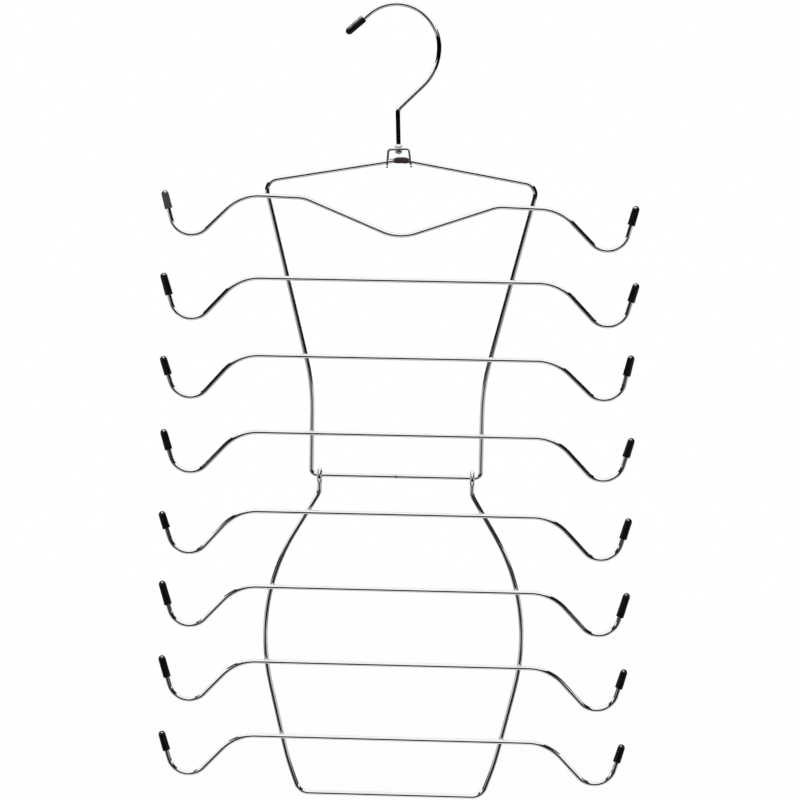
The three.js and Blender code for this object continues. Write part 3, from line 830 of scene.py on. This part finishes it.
def buildTier(number):
    place = (number - 1) % tiers["perFrame"]
    onUpper = number <= tiers["perFrame"]
    body = "upper" if onUpper else "lower"
    if onUpper:
        level = hingeLevel + tiers["toHinge"] + (tiers["perFrame"] - 1 - place) * tiers["pitch"]
    else:
        level = hingeLevel - tiers["fromHinge"] - place * tiers["pitch"]
    tilt = neckline["tilt"] if number == 1 else 0.0
    lay = Matrix.Translation((0, tiers["front"], level)) @ Matrix.Rotation(math.radians(tilt), 4, "Y")
    path = halfBar(number, "right").mirrored(halfBar(number, "left")).moved(lay)
    bm = bmesh.new()
    sweepWire(bm, path)
    spots = []
    for side in (-1, 1):
        spot, way = frameWires[body].crossing(level, tan(tilt), side)
        addWeld(bm, spot, way, number + side * nugget["sideSeed"])
        spots.append(Vector((spot.x, tiers["front"] / 2, spot.z)))
    markSpots(bm, "weld", spots, nugget["fade"])
    makePiece(f"bar_{number}", bm, "bar", body, "bar_chrome", frameLay, f"tier_bar_{number}")
    ends = {"left": (path.rings[0][0], -path.rings[0][1]), "right": path.end}
    for side, end in ends.items():
        bm = bmesh.new()
        seed = number + (sleeve["rightSeed"] if side == "right" else 0.0)
        addSleeve(bm, sleeve, end, dipped[side][number - 1], seed)
        # the first left sleeve gets the paler tone
        look = "palerVinyl" if (number, side) == (1, "left") else "vinyl"
        piece = makePiece(f"sleeve_{side}_{number}", bm, look, body, "cap_vinyl", frameLay,
                          f"arm_cap_{side}_{number}")
        capGroup.objects.link(piece)


for number in range(1, 2 * tiers["perFrame"] + 1):
    buildTier(number)
print("tiers built")


# studio

studio = {
    "floorDrop": 150.0, "floorReach": 4000.0, "floorSides": 96, "floorColour": rgb(0.9, 0.9, 0.9),
    "floorGlow": 0.97, "floorFade": (0.5, 1.6),  # the fade in metres from the middle
    # the surround that the wire mirrors: levels, then degrees above the horizon
    "ambient": 0.45, "black": 0.004, "frontGrey": 0.07, "sideGrey": 0.64,
    "cardTop": (9.0, 12.0), "cardFoot": (-76.0, -62.0), "stripTop": (0.0, 3.0), "stripFoot": (-12.0, -8.0),
    "wideTop": (-13.0, -18.0), "wideFoot": (-50.0, -40.0),
    "sideFade": (12.0, 85.0), "wideFade": (48.0, 110.0),  # degrees round from the front
    # the black cards left and right, from foot to top
    "flagAside": 600.0, "flagReach": (-2500.0, 400.0),
    "leftFlag": (-120.0, 212.0), "rightFlag": (-240.0, 320.0),
    "keyPlace": (-0.1, -0.5, 1.0), "keySize": (1.6, 0.8), "keyPower": 9.0,  # lamps in metres and watts
    "glintPlace": (-0.2, -0.36, 1.05), "glintSize": (1.5, 0.55), "glintPower": 110.0,
}


def buildFloor():
    bm = bmesh.new()
    reach, sides = studio["floorReach"] * mm, studio["floorSides"]
    bmesh.ops.create_circle(bm, cap_ends=True, segments=sides, radius=reach)
    mesh = bpy.data.meshes.new("floor")
    bm.to_mesh(mesh)
    bm.free()
    floor = bpy.data.objects.new("floor", mesh)
    floor.location.z = cadBox[0].z - studio["floorDrop"] * mm
    bpy.context.scene.collection.objects.link(floor)
    floor.visible_glossy = False  # the bright wire reflects the studio, not the floor under it
    material = bpy.data.materials.new("pale floor")
    shader = Shader(material)
    place = shader.add("ShaderNodeTexCoord")["Object"]
    radius = shader.add("ShaderNodeVectorMath", {"operation": "LENGTH"}, {0: place})["Value"]
    away = radius.between(*studio["floorFade"])
    seen = shader.add("ShaderNodeLightPath")["Is Camera Ray"]
    matt = shader.add("ShaderNodeBsdfDiffuse", None, {"Color": studio["floorColour"]})[0]
    glow = shader.add("ShaderNodeEmission", None, {"Color": rgb(1, 1, 1), "Strength": 1.0})[0]
    share = seen * (studio["floorGlow"] + away * (1 - studio["floorGlow"]))
    surface = shader.add("ShaderNodeMixShader", None, {0: share, 1: matt, 2: glow})[0]
    shader.add("ShaderNodeOutputMaterial", None, {"Surface": surface})
    mesh.materials.append(material)


def buildWorld():  # a white studio with a dark card low in front, which draws the lines in the wire
    world = bpy.data.worlds.new("studio")
    bpy.context.scene.world = world
    shader = Shader(world)
    way = shader.add("ShaderNodeTexCoord")["Generated"]
    parts = shader.add("ShaderNodeSeparateXYZ", None, {0: way})
    rise = parts["Z"].math("ARCSINE") * math.degrees(1)
    turn = abs(parts["X"]).math("ARCTAN2", abs(parts["Y"])) * math.degrees(1)  # 0 front and back, 90 aside
    low = 1 - rise.between(*studio["stripTop"])
    strip = rise.between(*studio["stripFoot"]) * low  # a grey strip just below the horizon
    front = studio["black"] + strip * (studio["frontGrey"] - studio["black"])
    wide = rise.between(*studio["wideTop"]) * rise.between(*studio["wideFoot"])  # the dark is wider here
    aside = turn.between(*studio["sideFade"])
    aside = aside + wide * (turn.between(*studio["wideFade"]) - aside)
    card = front + low * aside * (studio["sideGrey"] - front)
    covered = (1 - rise.between(*studio["cardTop"])) * rise.between(*studio["cardFoot"])
    mirrored = 1 - covered * (1 - card)
    ray = shader.add("ShaderNodeLightPath")
    glossy = ray["Is Glossy Ray"]
    seen = ray["Is Camera Ray"].math("MAXIMUM", ray["Is Transmission Ray"])
    level = seen + (1 - seen) * (glossy * mirrored + (1 - glossy) * studio["ambient"])
    back = shader.add("ShaderNodeBackground", None, {"Color": rgb(1, 1, 1), "Strength": level})[0]
    shader.add("ShaderNodeOutputWorld", None, {"Surface": back})


def buildFlags():  # two long black cards, left and right of the view, which the hook and the arms mirror
    material = bpy.data.materials.new("black card")
    shader = Shader(material)
    matt = shader.add("ShaderNodeBsdfDiffuse", None, {"Color": rgb(0, 0, 0)})[0]
    shader.add("ShaderNodeOutputMaterial", None, {"Surface": matt})
    near, far = studio["flagReach"]
    for side, (foot, top) in ((-1, studio["leftFlag"]), (1, studio["rightFlag"])):
        mesh = bpy.data.meshes.new("flag")
        corners = [Vector((side * studio["flagAside"], y, z)) * mm
                   for y, z in ((near, foot), (far, foot), (far, top), (near, top))]
        mesh.from_pydata(corners, [], [(0, 1, 2, 3)])
        mesh.materials.append(material)
        flag = bpy.data.objects.new("flag", mesh)
        flag.visible_camera = flag.visible_diffuse = flag.visible_shadow = False
        bpy.context.scene.collection.objects.link(flag)


def buildLamp(name, place, size, power):  # a soft box aimed at the middle of the hanger
    lamp = bpy.data.lights.new(name, "AREA")
    lamp.shape = "RECTANGLE"
    lamp.size, lamp.size_y = size
    lamp.energy = power
    holder = bpy.data.objects.new(name, lamp)
    holder.location = place
    aim = (cadBox[0] + cadBox[1]) / 2 - holder.location
    holder.rotation_euler = aim.to_track_quat("-Z", "Y").to_euler()
    bpy.context.scene.collection.objects.link(holder)
    return holder


def buildLamps():
    key = buildLamp("key", studio["keyPlace"], studio["keySize"], studio["keyPower"])
    key.visible_glossy = False  # the wire mirrors the white studio instead
    glint = buildLamp("glint", studio["glintPlace"], studio["glintSize"], studio["glintPower"])
    glint.visible_diffuse = False
    glint.light_linking.receiver_collection = capGroup  # only the dark sleeves catch its highlight


viewpoint = {
    "aside": 2.0, "below": 281.53, "distance": 1300.0, "pitch": 5.68, "yaw": -1.66, "roll": 1.03,
    "lens": 80.51, "sensor": 36.0,
}


def buildCamera():
    pitch, yaw, roll = viewpoint["pitch"], viewpoint["yaw"], viewpoint["roll"]
    forward = Vector((sin(yaw) * cos(pitch), cos(yaw) * cos(pitch), -sin(pitch)))
    level = Vector((cos(yaw), -sin(yaw), 0))
    rise = level.cross(forward)
    right = level * cos(roll) + rise * sin(roll)
    top = rise * cos(roll) - level * sin(roll)
    target = Vector((hingePoint.x + viewpoint["aside"], 0, -viewpoint["below"]))
    eye = (target - forward * viewpoint["distance"]) * mm
    data = bpy.data.cameras.new("camera")
    data.lens = viewpoint["lens"]
    data.sensor_width = viewpoint["sensor"]
    camera = bpy.data.objects.new("camera", data)
    camera.matrix_world = Matrix((right, top, -forward)).transposed().to_4x4()
    camera.location = eye
    bpy.context.scene.collection.objects.link(camera)
    bpy.context.scene.camera = camera


buildFloor()
buildWorld()
buildFlags()
buildLamps()
buildCamera()
bpy.context.scene.view_settings.view_transform = "Standard"
print("studio and camera set")
